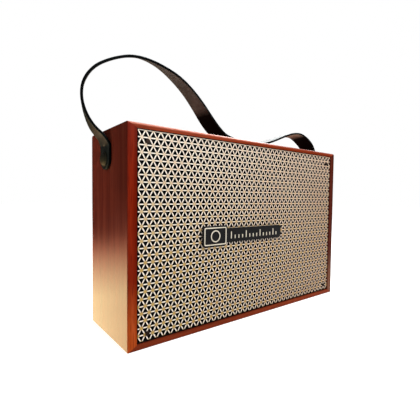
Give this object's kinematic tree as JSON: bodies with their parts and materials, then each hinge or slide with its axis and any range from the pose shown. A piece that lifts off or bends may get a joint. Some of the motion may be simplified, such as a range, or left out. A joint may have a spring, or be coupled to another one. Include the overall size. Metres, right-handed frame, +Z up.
{
  "type": "portable radio",
  "caption": "Wooden cabinet radio with a perforated front grille, a riveted leather carrying strap, rear knobs and buttons, and a pull-up antenna.",
  "frame": {"origin": "middle of the cabinet's underside, on the surface it stands on", "axes": "+X to the right as seen from the front, +Y towards the rear cover, +Z up"},
  "size_m": [0.2767, 0.0771, 0.2247],
  "materials": {
    "cabinet_wood": "satin varnish over reddish brown veneer",
    "plain_wood": "raw pine",
    "fibre_board": "raw fibre board",
    "black_cloth": "black acoustic cloth",
    "cream_metal": "cream lacquer, satin",
    "dark_steel": "blackened",
    "black_plastic": "fine matte",
    "cream_lines": "raised cream lines",
    "black_metal": "black powder coat",
    "plated_steel": "zinc plated",
    "ferrite": "sintered ferrite",
    "copper_wire": "enamelled copper winding",
    "cone_paper": "black pulp",
    "soft_rubber": "matte",
    "spider_cloth": "resin treated cloth",
    "strap_leather": "black grain outside, olive grey flesh side",
    "antique_brass": "antique, dark patina",
    "black_board": "black textured",
    "brushed_plate": "black anodised, brushed",
    "switch_case": "moulded",
    "socket_plastic": "moulded",
    "light_pipe": "clear moulded light pipe",
    "board_green": "solder mask",
    "brass_posts": "turned",
    "heat_sink": "black anodised",
    "battery_sleeve": "shrink sleeve",
    "chrome_tube": "polished",
    "lead_jacket": "soft jacket"
  },
  "bodies": {
    "cabinet": {"cabinet_top": "cabinet_wood", "cabinet_bottom": "cabinet_wood", "cabinet_left": "cabinet_wood", "cabinet_right": "cabinet_wood", "side_block_left": "plain_wood", "side_block_right": "plain_wood", "top_cleat": "plain_wood", "baffle": "fibre_board", "grille_cloth": "black_cloth", "grille": "cream_metal", "grille_screws": "dark_steel", "badge_plate": "black_plastic", "badge_lines": "cream_lines", "driver_frame": "black_metal", "driver_screws": "dark_steel", "driver_front_plate": "plated_steel", "driver_magnet": "ferrite", "driver_yoke": "plated_steel", "rivet_left": "antique_brass", "rivet_right": "antique_brass", "rivet_nuts": "antique_brass", "rear_cover": "black_board", "cover_screws": "dark_steel", "control_plate": "brushed_plate", "volume_pot": "plated_steel", "tuning_pot": "plated_steel", "pot_nuts": "plated_steel", "band_switch": "switch_case", "tact_switches": "switch_case", "usb_socket": "plated_steel", "aux_socket": "socket_plastic", "status_light": "light_pipe", "circuit_board": "board_green", "board_posts": "brass_posts", "amplifier_module": "heat_sink", "tuner_module": "plated_steel", "small_screws": "dark_steel", "battery_pack": "battery_sleeve", "battery_clamp": "plated_steel", "ferrite_rod": "ferrite", "rod_holder": "socket_plastic", "antenna_housing": "chrome_tube", "antenna_clip": "socket_plastic", "speaker_lead": "lead_jacket", "battery_lead": "lead_jacket"},
    "strap": {"carry_strap": "strap_leather"},
    "volume": {"volume_knob": "black_plastic"},
    "tuning": {"tuning_knob": "black_plastic"},
    "band": {"band_slider": "black_plastic"},
    "power": {"power_button": "black_plastic"},
    "mode": {"mode_button": "black_plastic"},
    "cone": {"cone": "cone_paper", "dust_cap": "cone_paper", "voice_coil": "copper_wire", "cone_surround": "soft_rubber", "spider": "spider_cloth"},
    "antenna_tube": {"antenna_tube": "chrome_tube"},
    "antenna_rod": {"antenna_rod": "chrome_tube", "antenna_tip": "chrome_tube"}
  },
  "joints": [
    {"name": "strap_swing", "type": "hinge", "parent": "cabinet", "child": "strap", "pos_m": [0, 0, 0.137], "axis": [1, 0, 0], "range_deg": [-12, 12]},
    {"name": "volume_turn", "type": "hinge", "parent": "cabinet", "child": "volume", "pos_m": [0.003, 0.031, 0.095], "axis": [0, 1, 0], "range_deg": [0, 300]},
    {"name": "tuning_turn", "type": "hinge", "parent": "cabinet", "child": "tuning", "pos_m": [0.067, 0.031, 0.095], "axis": [0, 1, 0], "range_deg": [-150, 150]},
    {"name": "band_slide", "type": "slide", "parent": "cabinet", "child": "band", "axis": [1, 0, 0], "range_m": [-0.0029, 0.0029]},
    {"name": "power_press", "type": "slide", "parent": "cabinet", "child": "power", "axis": [0, -1, 0], "range_m": [0, 0.0008], "stiffness_N_per_m": 600},
    {"name": "mode_press", "type": "slide", "parent": "cabinet", "child": "mode", "axis": [0, -1, 0], "range_m": [0, 0.0008], "stiffness_N_per_m": 600},
    {"name": "cone_travel", "type": "slide", "parent": "cabinet", "child": "cone", "axis": [0, -1, 0], "range_m": [-0.002, 0.002], "stiffness_N_per_m": 900, "deforming": ["cone_surround", "spider"]},
    {"name": "antenna_tube_slide", "type": "slide", "parent": "cabinet", "child": "antenna_tube", "axis": [0, 0, 1], "range_m": [0, 0.115]},
    {"name": "antenna_rod_slide", "type": "slide", "parent": "antenna_tube", "child": "antenna_rod", "axis": [0, 0, 1], "range_m": [0, 0.115]}
  ]
}
